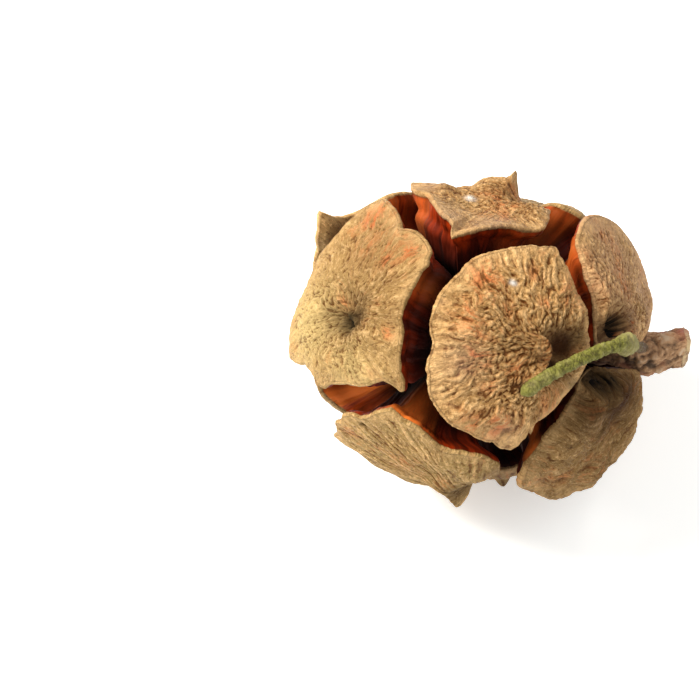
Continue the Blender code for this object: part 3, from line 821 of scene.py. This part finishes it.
def build_stalk(shape, finish):
    obj = sphere("detail_stalk", 144, 260)
    share, turns = share_and_turn(obj)
    along, up, front = stalk_axes()
    end = ease(END_FROM, 1.0, share)
    x = np.interp(share, *STALK_RINGS)
    radius = stalk_radius(x)
    radius = np.where(share < 0.02, radius * 0 + CORE_RADIUS * np.sqrt(share / 0.02) * 0.35, radius)
    radius = np.where(share > END_FROM, radius * np.sqrt(np.clip(1 - end, 0, 1)), radius)
    broken = ease(END_FROM, 0.90, share)
    places = np.stack((x, radius * np.cos(turns), radius * np.sin(turns)), 1)
    outside = ease(6.0, 10.0, x)
    height = shape.bark / MILLIMETRE
    bark = 0.5 * cracks(places * (0.5, 1, 1), 1.3, 5.0) + 0.5 * cracks(places * (0.6, 1, 1), 0.7, 8.0)
    bark += 0.9 * bumps(places, 2.2, 2.0) + 0.5 * bumps(places, 0.9, 1.0) + 0.4 * bumps(places, 0.3, 3.0)
    cap = hill(turn_between(turns, 45), 30) * hill(x - STALK_END + 0.5, 0.7)
    cream = hill(turn_between(turns, 335), 50) * hill(x - STALK_END, 0.35) * (1 - ease(0.90, 0.94, share))
    radius = radius + bark * height * 0.6 * outside * (1 - broken * 0.6) + cap * 0.2
    radius = np.maximum(radius, 0)
    radius[(share < 1e-4) | (share > 0.9999)] = 0.0
    sunk = broken * (0.25 + 0.6 * bumps(places, 1.1, 4.0)) * (1 - hill(1 - end, 0.4) * 0.3)
    x = x + 0.15 * broken * np.cos(turns - 0.6) * (radius / STALK_RADIUS) - sunk * 0.5
    x = x - 0.5 * hill(share - 0.865, 0.02)
    points = np.outer(x, along)
    points += np.outer(radius * np.cos(turns), up) - np.outer(radius * np.sin(turns), front)
    points -= np.outer(0.5 * hill(x - 17.4, 2.4), (0, 0.866, 0.5))
    worn = unevenness(points, BARK_WEAR_SIZE, 3.1) * BARK_WEAR * outside[:, None]
    reshape(obj, placed(points + worn))
    paint(obj, "relief", np.clip(bark * 0.25 + 0.5, 0, 1))
    paint(obj, "end", ease(0.84, 0.88, share))
    paint(obj, "rim", hill(share - 0.875, 0.02))
    # Painted shade: the core and the stalk inside the cone are darkened
    paint(obj, "inside", 1 - ease(12.0, 16.0, x))
    paint(obj, "cap", cap)
    paint(obj, "cream", cream)
    dress(obj, finish, "stalk_bark", "core_and_stalk")
    return obj


def line_at(line, share):
    """Points along a smooth curve near the line's corners, by the mean of five places near each."""
    line = np.array(line, float)
    steps = np.linspace(0, 1, len(line))
    near = [np.clip(share + shift, 0, 1) for shift in (-0.08, -0.04, 0.0, 0.04, 0.08)]
    return np.stack([sum(np.interp(at, steps, line[:, axis]) for at in near) / 5 for axis in range(3)], 1)


def leaf_relief(run, turns):
    """Pairs of small overlapping leaves, each pair a quarter turn from the last."""
    total = np.zeros(len(run))
    for layer in (0.0, 0.5):
        place = run / LEAF_STEP + layer
        pair = np.floor(place)
        part = place - pair
        quarter = (pair + 2 * layer) % 2 * math.pi / 2
        side = np.abs((turns - quarter + math.pi / 2) % math.pi - math.pi / 2)
        leaf = hill(side, 0.62 - 0.25 * part) * ease(0.0, 0.25, part) * (1.1 - part * 0.9)
        total = np.maximum(total, leaf)
    return total


def tube_points(line, share, turns, radius):
    ahead = rows_unit(line_at(line, share + 0.01) - line_at(line, share - 0.01))
    side = rows_unit(np.cross(ahead, (0.0, 0.3, 1.0)))
    round_line = np.cos(turns)[:, None] * side + np.sin(turns)[:, None] * np.cross(side, ahead)
    return line_at(line, share) + radius[:, None] * round_line


def build_sprig(finish):
    obj = sphere("detail_sprig", 96, 420)
    share, turns = share_and_turn(obj)
    line = np.array(SPRIG_LINE)
    length = np.linalg.norm(np.diff(line, axis=0), axis=1).sum()
    run = share * length
    leaves = leaf_relief(run, turns)
    root = 0.72 * hill(share - 0.79, 0.042) - 0.2 * ease(0.84, 0.92, share)
    tip = np.sin(np.clip(share * 16, 0, 1) * math.pi / 2)
    base = np.sin(np.clip((1 - share) * 20, 0, 1) * math.pi / 2)
    places = np.stack((run, np.cos(turns) * 0.6, np.sin(turns) * 0.6), 1)
    grain = cracks(places, 0.42, 6.0) * 0.07 + bumps(places, 0.2, 9.0) * 0.05
    grain += bumps(places, 1.1, 2.0) * 0.13
    thick = SPRIG_RADIUS * (1.03 + 0.2 * hill(share, 0.14) + root) + leaves * LEAF_HEIGHT - 0.06 + grain
    reshape(obj, placed(tube_points(SPRIG_LINE, share, turns, thick * tip * base)))
    paint(obj, "relief", np.clip(leaves + grain * 3, 0, 1))
    paint(obj, "root", ease(0.83, 0.90, share))
    paint(obj, "knob", hill(share - 0.79, 0.05) * 0.8)
    paint(obj, "run", np.stack((run, np.cos(turns), np.sin(turns)), 1))
    dress(obj, finish, "sprig", "green_sprig")
    return obj


# ==== Materials ====

class Value:
    """A number that varies over a surface, so that shader maths reads as plain sums."""

    def __init__(self, finish, socket):
        self.finish, self.socket = finish, socket

    def maths(self, operation, first, second=0.0):
        return self.finish.node("ShaderNodeMath", {"operation": operation}, {0: first, 1: second})

    def __add__(self, other):
        return self.maths("ADD", self, other)

    def __sub__(self, other):
        return self.maths("SUBTRACT", self, other)

    def __rsub__(self, other):
        return self.maths("SUBTRACT", other, self)

    def __mul__(self, other):
        return self.maths("MULTIPLY", self, other)

    def __pow__(self, other):
        return self.maths("POWER", self, other)

    __radd__ = __add__
    __rmul__ = __mul__


class Finish:
    """A material under construction."""

    def __init__(self, name, roughness, shine=0.5):
        self.material = bpy.data.materials.new(name)
        self.material.use_nodes = True
        self.tree = self.material.node_tree
        self.shader = self.tree.nodes["Principled BSDF"]
        self.shader.inputs["Roughness"].default_value = roughness
        self.shader.inputs["Specular IOR Level"].default_value = shine

    def node(self, kind, settings=None, sockets=None, output=0):
        """Adds a node: its settings come first, then the values or links of its sockets."""
        made = self.tree.nodes.new(kind)
        for key, value in (settings or {}).items():
            if key == "stops":
                self.set_stops(made.color_ramp, value)
            else:
                setattr(made, key, value)
        for key, value in (sockets or {}).items():
            self.join(value, made.inputs[key])
        return Value(self, made.outputs[output])

    def set_stops(self, ramp, stops):
        while len(ramp.elements) < len(stops):
            ramp.elements.new(0.5)
        for element, (place, colour) in zip(ramp.elements, stops):
            element.position = place
            element.color = (*colour, 1.0)

    def join(self, value, socket):
        if isinstance(value, Value):
            self.tree.links.new(value.socket, socket)
        elif socket.type == "RGBA" and len(value) == 3:
            socket.default_value = (*value, 1.0)
        else:
            socket.default_value = value

    def set(self, name, value):
        self.join(value, self.shader.inputs[name])

    def number(self, name):
        return self.node("ShaderNodeAttribute", {"attribute_name": name}, output="Fac")

    def vector(self, name):
        return self.node("ShaderNodeAttribute", {"attribute_name": name}, output="Vector")

    def place(self):
        return self.node("ShaderNodeTexCoord", output="Object")

    def clouds(self, place, scale, detail=3.0, rough=0.55):
        sockets = {"Vector": place, "Scale": scale, "Detail": detail, "Roughness": rough}
        return self.node("ShaderNodeTexNoise", {}, sockets)

    def between(self, value, low, high):
        """0 below the low value, 1 above the high one, and smooth between them."""
        sockets = {"Value": value, "From Min": low, "From Max": high}
        return self.node("ShaderNodeMapRange", {"interpolation_type": "SMOOTHSTEP"}, sockets)

    def mix(self, share, first, second):
        sockets = {0: share, 6: first, 7: second}
        return self.node("ShaderNodeMix", {"data_type": "RGBA"}, sockets, output=2)

    def bump(self, height, distance, strength=1.0):
        sockets = {"Height": height, "Distance": distance, "Strength": strength}
        self.set("Normal", self.node("ShaderNodeBump", {}, sockets))


def dark_of(colour, share):
    return tuple(part * share for part in colour)


# How each face differs in colour: tint mixed over the skin, how much of it, and how bright the whole is
# painted, which is painted light and shade for how the face lies to the lamps
FACE_TINTS = {
    "scale_crown": ((0.42, 0.23, 0.075), 0.0, 1.2),
    "scale_tip_top": ((0.42, 0.255, 0.084), 0.6, 0.93),
    "scale_top_back": ((0.43, 0.215, 0.070), 0.4, 1.1),
    "scale_stalk_top": ((0.54, 0.285, 0.145), 0.6, 1.14),
    "scale_stalk_front": ((0.26, 0.175, 0.062), 0.3, 0.95),
    "scale_front": ((0.37, 0.250, 0.082), 0.7, 1.04),
    "scale_tip_back": ((0.55, 0.36, 0.15), 0.8, 1.4),
}
OTHER_TINT = ((0.40, 0.27, 0.10), 0.5, 0.9)

# Colours of the spots on the skin, some of them painted shade and painted light as told at SPOTS,
# and the painted light of walls that catch the light
PALER_AND_LIT, GREYED, DARK_OLIVE_AND_SHADE = (0.80, 0.62, 0.25), (0.33, 0.21, 0.135), (0.050, 0.045, 0.016)
PALE, ORANGE, HOLE_SHADE = (0.85, 0.80, 0.72), (0.44, 0.13, 0.03), (0.007, 0.004, 0.002)
LIT_WALL = (1.0, 0.23, 0.035)


def scale_finish(name, colours):
    """Wrinkled dry skin on the face, smooth red-brown walls, and painted shade and light on both."""
    # The third number darkens or brightens all the skin colours of a face: painted light and shade
    tint, tinted, painted_light = FACE_TINTS.get(name, OTHER_TINT)
    ridge, plain = dark_of(colours.ridge, painted_light), dark_of(colours.skin, painted_light)
    valley = dark_of(colours.valley, painted_light)
    finish = Finish("skin_" + name, 0.62, 0.16)
    place, grain = finish.place(), finish.vector("grain")
    relief, wall, depth = finish.number("relief"), finish.number("wall"), finish.number("depth")
    streaks = finish.clouds(grain, 1.3, 4.0, 0.65)
    threads = finish.clouds(grain, 4.2, 3.0, 0.75)
    mottle = finish.clouds(place, 900.0, 4.0, 0.7)
    patches = finish.clouds(place, 210.0, 2.0)
    specks = finish.clouds(place, 3000.0, 3.0, 0.7)

    fine_line = threads * 0.55 + specks * 0.45
    # Low places of the wrinkles take painted shade, crests a painted highlight, partly the skin's own
    # tones
    hollow = (1 - finish.between(relief, 0.04, 0.40)) * (0.92 - 0.3 * tinted)
    line = (1 - finish.between(fine_line, 0.37, 0.47)) * 0.7
    crest = finish.between(relief, 0.55, 0.95) * 0.4
    thread = finish.between(fine_line, 0.51, 0.62) * 0.6
    even = finish.between(mottle * 0.6 + streaks * 0.4, 0.38, 0.62)
    skin = finish.mix(even, dark_of(plain, 0.68), plain)
    skin = finish.mix(tinted * finish.between(patches + mottle * 0.4, 0.3, 0.8), skin, tint)
    skin = finish.mix(crest + thread, skin, ridge)
    flushed = finish.number("flush") + finish.between(patches * 0.6 + streaks * 0.5, 0.56, 0.76) * 0.6
    flushed = flushed * finish.between(streaks * 0.55 + threads * 0.45, 0.44, 0.56)
    skin = finish.mix(flushed, skin, colours.flush)
    # Paler skin on parts of scale_tip_top: partly its own tone, partly painted light
    skin = finish.mix(finish.number("bleach"), skin, PALER_AND_LIT)
    skin = finish.mix(hollow + line, skin, valley)
    skin = finish.mix(finish.number("grey") * 0.6, skin, GREYED)
    # Painted shade in hollows, under neighbouring scales and near the stalk
    shade = finish.number("shade") * (0.72 + mottle * 0.5)
    skin = finish.mix(shade, skin, dark_of(colours.valley, 0.45))
    # Dark olive in pits and hollows: partly the skin's own tone, partly painted shade
    skin = finish.mix(finish.number("green") * 0.6, skin, DARK_OLIVE_AND_SHADE)
    skin = finish.mix(finish.number("pale"), skin, PALE)
    skin = finish.mix(finish.number("orange"), skin, ORANGE)
    # Painted shade: near black in the deep hole, pits and gaps
    skin = finish.mix(finish.number("black") * (1.25 - relief * 0.9), skin, HOLE_SHADE)
    skin = finish.mix(finish.number("rim") * 0.35 * finish.between(mottle, 0.35, 0.6), skin, ridge)

    # Each wall's brightness and the bright red under its edge are partly painted light and shade
    light = WALL_LOOKS.get(name, PLAIN_WALL)[0]
    ribs, bands = finish.clouds(grain, 1.1, 3.0), finish.clouds(grain, 0.6, 2.0)
    under_edge = (1 - finish.between(depth, 0.03, 0.3)) * finish.between(ribs, 0.32, 0.60)
    side = finish.mix(under_edge, dark_of(colours.wall, light), dark_of(colours.wall_edge, light))
    banded = finish.between(ribs * 0.4 + bands * 0.6, 0.46, 0.58) * 0.8
    side = finish.mix(banded, side, dark_of(colours.wall, light * 0.2))
    # Painted shade: near black deep in the gaps between the scales
    side = finish.mix(finish.between(depth, 0.2, 0.6), side, dark_of(colours.wall, 0.04))
    lit = finish.number("lit") * (1 - finish.between(depth, 0.25, 0.8))
    side = finish.mix(lit * finish.between(bands * 0.5 + ribs * 0.5, 0.33, 0.5), side, LIT_WALL)
    finish.set("Base Color", finish.mix(wall, skin, side))
    finish.set("Roughness", 0.62 + (specks - 0.5) * 0.4 - wall * (0.16 - depth * 0.9))
    fine = relief * 0.3 + (threads - 0.5) * 1.7 + (specks - 0.5) * 1.1
    finish.bump(fine * (1 - wall) + wall * ribs * (1 - depth) * 0.6, 0.00021, 0.85)
    return finish.material


# Parts of the stalk's broken end: name, the mottling from which and at which it shows, colour
BROKEN_END = (
    ("rim", 0.4, 0.6, (0.62, 0.46, 0.28)),
    ("cream", 0.3, 0.5, (0.66, 0.47, 0.24)),
    ("cap", 0.3, 0.55, (0.30, 0.095, 0.06)),
)


def bark_finish(colours):
    """Rough brown bark with paler crests, and a torn end with a cream and reddish edge."""
    finish = Finish("stalk_bark", 0.8)
    place, relief, end = finish.place(), finish.number("relief"), finish.number("end")
    mottle = finish.clouds(place, 700.0, 5.0, 0.7)
    patches = finish.clouds(place, 260.0, 2.0)
    height = relief + (mottle - 0.5) * 1.0
    # Darker in the bark's cracks, paler on its crests: partly its own tones, partly painted shade and
    # highlight
    colour = finish.mix(finish.between(height, 0.25, 0.6), dark_of(colours.bark, 0.2), colours.bark)
    colour = finish.mix(finish.between(height, 0.5, 0.85) * 0.9, colour, (0.58, 0.42, 0.27))
    colour = finish.mix(finish.between(patches, 0.45, 0.62) * 0.65, colour, (0.36, 0.13, 0.06))
    torn = finish.mix(finish.between(mottle, 0.4, 0.65), (0.16, 0.06, 0.03), (0.45, 0.30, 0.16))
    colour = finish.mix(end, colour, torn)
    for name, low, high, tint in BROKEN_END:
        colour = finish.mix(finish.number(name) * finish.between(mottle, low, high), colour, tint)
    # Painted shade: the core and the stalk inside the cone are darkened
    colour = finish.mix(finish.number("inside"), colour, (0.10, 0.03, 0.01))
    finish.set("Base Color", colour)
    finish.bump(height, 0.00025, 0.9)
    return finish.material


def sprig_finish(colours):
    """Small green leaves with yellowish tops, partly a painted highlight, and dark, dusty joints."""
    finish = Finish("sprig_leaves", 0.65, 0.25)
    run, relief = finish.vector("run"), finish.number("relief")
    mottle = finish.clouds(finish.place(), 1500.0, 4.0, 0.7)
    fleck = finish.clouds(run, 6.0, 3.0, 0.7)
    height = relief * 0.45 + (mottle - 0.5) * 1.1 + (fleck - 0.5) * 0.8 + 0.25
    patches = finish.clouds(finish.place(), 420.0, 2.0)
    colour = finish.mix(finish.between(height, 0.05, 0.42), (0.085, 0.070, 0.016), colours.sprig)
    # Yellowish leaf tops: partly their own colour, partly a painted highlight
    colour = finish.mix(finish.between(height, 0.4, 0.9), colour, (0.31, 0.28, 0.08))
    colour = finish.mix(finish.between(patches, 0.45, 0.65) * 0.4, colour, (0.24, 0.19, 0.08))
    colour = finish.mix(finish.number("knob") * 0.5, colour, (0.40, 0.34, 0.14))
    brown = finish.number("root") * finish.between(mottle, 0.25, 0.5)
    colour = finish.mix(brown, colour, (0.11, 0.06, 0.025))
    finish.set("Base Color", colour)
    finish.bump(height, 0.00016, 0.8)
    return finish.material


# ==== Floor, lights and camera ====

CAMERA_RISE = math.radians(60)
CAMERA_FAR = 0.230
VIEW_WIDTH = 0.070
SENSOR = 36.0
VIEW_SHIFT = (-0.0118, -0.0009)
GLOW = 0.43
DAYLIGHT = 0.385

# Each light: place seen from the middle of the cone, power in watts, width, colour
LIGHTS = {
    "soft_key": ((-0.34, 0.10, 0.36), 4.3, 0.20, (1.0, 0.97, 0.92)),
    "soft_fill": ((0.20, -0.10, 0.42), 0.9, 0.40, (0.95, 0.97, 1.0)),
}


def camera_axes():
    """The picture's right and up, and the way from the cone to the camera."""
    rise, level = math.sin(CAMERA_RISE), math.cos(CAMERA_RISE)
    return Vector((1, 0, 0)), Vector((0, rise, level)), Vector((0, -level, rise))


def add_camera(middle):
    right, up, away = camera_axes()
    aim = middle + right * VIEW_SHIFT[0] + up * VIEW_SHIFT[1]
    bpy.ops.object.camera_add(location=aim + away * CAMERA_FAR)
    camera = bpy.context.object
    camera.name = "photo_camera"
    camera.rotation_euler = (-away).to_track_quat("-Z", "Y").to_euler()
    camera.data.sensor_width = SENSOR
    camera.data.lens = SENSOR * CAMERA_FAR / VIEW_WIDTH
    camera.data.clip_start = 0.01
    bpy.context.scene.camera = camera


def add_light(name, middle):
    place, power, width, colour = LIGHTS[name]
    bpy.ops.object.light_add(type="AREA", location=middle + Vector(place))
    light = bpy.context.object
    light.name = name
    light.rotation_euler = (-Vector(place)).to_track_quat("-Z", "Y").to_euler()
    light.data.energy, light.data.size, light.data.color = power, width, colour


def floor_finish(colours):
    finish = Finish("floor_paper", 0.85)
    mottle = finish.clouds(finish.place(), 60.0, 2.0)
    finish.set("Base Color", finish.mix(mottle * 0.2, colours.floor, dark_of(colours.floor, 0.97)))
    finish.shader.inputs["Emission Color"].default_value = (1.0, 1.0, 0.99, 1.0)
    finish.shader.inputs["Emission Strength"].default_value = GLOW
    return finish.material


def add_floor(colours):
    bpy.ops.object.select_all(action="DESELECT")
    bpy.ops.mesh.primitive_plane_add(size=2.4, location=(0, 0, 0))
    floor = bpy.context.object
    floor.name = "floor"
    floor.data.materials.append(floor_finish(colours))


def set_daylight():
    world = bpy.context.scene.world or bpy.data.worlds.new("studio")
    bpy.context.scene.world = world
    world.use_nodes = True
    sky = world.node_tree.nodes["Background"]
    sky.inputs["Color"].default_value = (1.0, 1.0, 1.0, 1.0)
    sky.inputs["Strength"].default_value = DAYLIGHT


# ==== Operators and panel ====

class CONE_OT_scales(bpy.types.Operator):
    """Add the twelve woody scales"""

    bl_idname = "cone.add_scales"
    bl_label = "Scales"

    def execute(self, context):
        shape, colours = context.scene.cone_shape, context.scene.cone_colours
        for number, name in enumerate(SCALES):
            build_scale(name, number, shape, scale_finish(name, colours))
        return {"FINISHED"}


class CONE_OT_stalk(bpy.types.Operator):
    """Add the core and the rough stalk"""

    bl_idname = "cone.add_stalk"
    bl_label = "Core and stalk"

    def execute(self, context):
        build_stalk(context.scene.cone_shape, bark_finish(context.scene.cone_colours))
        return {"FINISHED"}


class CONE_OT_sprig(bpy.types.Operator):
    """Add the green leafy sprig"""

    bl_idname = "cone.add_sprig"
    bl_label = "Green sprig"

    def execute(self, context):
        build_sprig(sprig_finish(context.scene.cone_colours))
        return {"FINISHED"}


class CONE_OT_stage(bpy.types.Operator):
    """Add the floor, the soft lights and the camera"""

    bl_idname = "cone.add_stage"
    bl_label = "Floor, lights and camera"

    def execute(self, context):
        middle = Vector(MIDDLE) * MILLIMETRE
        add_floor(context.scene.cone_colours)
        set_daylight()
        for name in LIGHTS:
            add_light(name, middle)
        add_camera(middle)
        context.scene.view_settings.view_transform = "Standard"
        return {"FINISHED"}


OPERATORS = (CONE_OT_scales, CONE_OT_stalk, CONE_OT_sprig, CONE_OT_stage)


class CONE_PT_panel(bpy.types.Panel):
    """Buttons for the pieces of the cone, and what can be changed"""

    bl_idname = "CONE_PT_panel"
    bl_label = "Cypress cone"
    bl_space_type = "VIEW_3D"
    bl_region_type = "UI"
    bl_category = "Cypress cone"

    def draw(self, context):
        for group in (context.scene.cone_shape, context.scene.cone_colours):
            for key in group.__annotations__:
                self.layout.prop(group, key)
        for operator in OPERATORS:
            self.layout.operator(operator.bl_idname)


CLASSES = (CONE_PG_shape, CONE_PG_colours, *OPERATORS, CONE_PT_panel)


def register():
    for made in CLASSES:
        bpy.utils.register_class(made)
    bpy.types.Scene.cone_shape = bpy.props.PointerProperty(type=CONE_PG_shape)
    bpy.types.Scene.cone_colours = bpy.props.PointerProperty(type=CONE_PG_colours)


def unregister():
    del bpy.types.Scene.cone_shape, bpy.types.Scene.cone_colours
    for made in reversed(CLASSES):
        bpy.utils.unregister_class(made)


def main():
    register()
    bpy.ops.cone.add_scales()
    bpy.ops.cone.add_stalk()
    bpy.ops.cone.add_sprig()
    bpy.ops.cone.add_stage()


if __name__ == "__main__":
    main()
